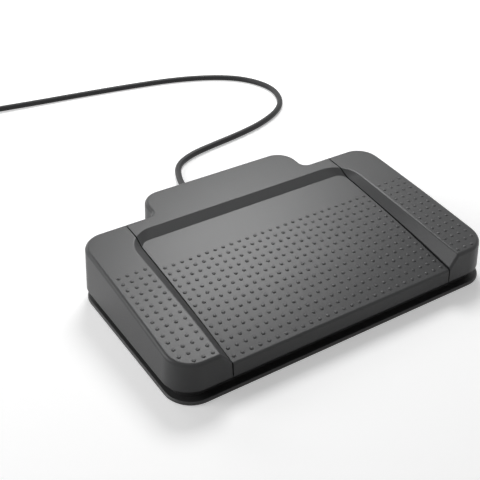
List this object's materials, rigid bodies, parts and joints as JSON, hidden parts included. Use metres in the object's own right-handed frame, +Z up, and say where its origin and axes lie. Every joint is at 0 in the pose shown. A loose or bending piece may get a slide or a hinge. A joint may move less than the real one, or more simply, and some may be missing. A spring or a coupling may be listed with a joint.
{
  "type": "usb foot pedal switch",
  "caption": "Low foot switch with a wide dished centre tread between two side wings, all hinged at the rear over a weighted base, with a cord to a USB plug.",
  "frame": {"origin": "on the floor under the middle of the housing, measured without the cord", "axes": "+X to the right along the width, +Y towards the rear where the cord leaves, +Z up"},
  "size_m": [0.3585, 0.5853, 0.0494],
  "materials": {
    "pedal_plastic": "fine moulded texture, satin",
    "base_plastic": "plain moulded",
    "mat_rubber": "matt",
    "zinc_steel": "zinc plated",
    "screw_steel": "zinc plated",
    "shaft_steel": "ground",
    "clip_steel": "spring steel",
    "magnet_nickel": "nickel plated",
    "spring_steel": "spring steel wire",
    "bumper_rubber": "matt",
    "board_laminate": "solder mask",
    "chip_resin": "moulded resin",
    "header_nylon": "nylon",
    "cord_sheath": "smooth satin sheath",
    "lead_sheath": "smooth insulation",
    "tie_plastic": "soft strap",
    "plug_plastic": "moulded satin",
    "plug_steel": "bright plated",
    "tongue_plastic": "plain moulded",
    "contact_brass": "gold plated"
  },
  "bodies": {
    "base": {"base_tray": "base_plastic", "anti_slip_mat": "mat_rubber", "ballast_plate": "zinc_steel", "ballast_screws": "screw_steel", "hinge_shaft": "shaft_steel", "shaft_clips": "clip_steel", "left_spring": "spring_steel", "centre_spring_left": "spring_steel", "centre_spring_right": "spring_steel", "right_spring": "spring_steel", "down_stop_bumpers": "bumper_rubber", "circuit_board": "board_laminate", "controller_chip": "chip_resin", "hall_sensors": "chip_resin", "cable_header": "header_nylon", "board_screws": "screw_steel", "strain_relief": "cord_sheath", "cord_inner_end": "cord_sheath", "cord_clamp": "base_plastic", "clamp_screws": "screw_steel", "inner_leads": "lead_sheath", "cord": "cord_sheath", "cord_coil": "cord_sheath", "cord_tie": "tie_plastic", "plug_body": "plug_plastic", "plug_shell": "plug_steel", "plug_tongue": "tongue_plastic", "plug_contacts": "contact_brass"},
    "left_pedal": {"left_pedal": "pedal_plastic", "left_magnet": "magnet_nickel"},
    "centre_pedal": {"centre_pedal": "pedal_plastic", "centre_magnet": "magnet_nickel"},
    "right_pedal": {"right_pedal": "pedal_plastic", "right_magnet": "magnet_nickel"}
  },
  "joints": [
    {"name": "left_pedal_hinge", "type": "hinge", "parent": "base", "child": "left_pedal", "pos_m": [0, 0.054, 0.022], "axis": [1, 0, 0], "range_deg": [0, 2.3], "stiffness_Nm_per_rad": 5, "springref_deg": -3.44, "deforming": ["left_spring"]},
    {"name": "centre_pedal_hinge", "type": "hinge", "parent": "base", "child": "centre_pedal", "pos_m": [0, 0.054, 0.022], "axis": [1, 0, 0], "range_deg": [0, 2.3], "stiffness_Nm_per_rad": 12, "springref_deg": -3.44, "deforming": ["centre_spring_left", "centre_spring_right"]},
    {"name": "right_pedal_hinge", "type": "hinge", "parent": "base", "child": "right_pedal", "pos_m": [0, 0.054, 0.022], "axis": [1, 0, 0], "range_deg": [0, 2.3], "stiffness_Nm_per_rad": 5, "springref_deg": -3.44, "deforming": ["right_spring"]}
  ]
}
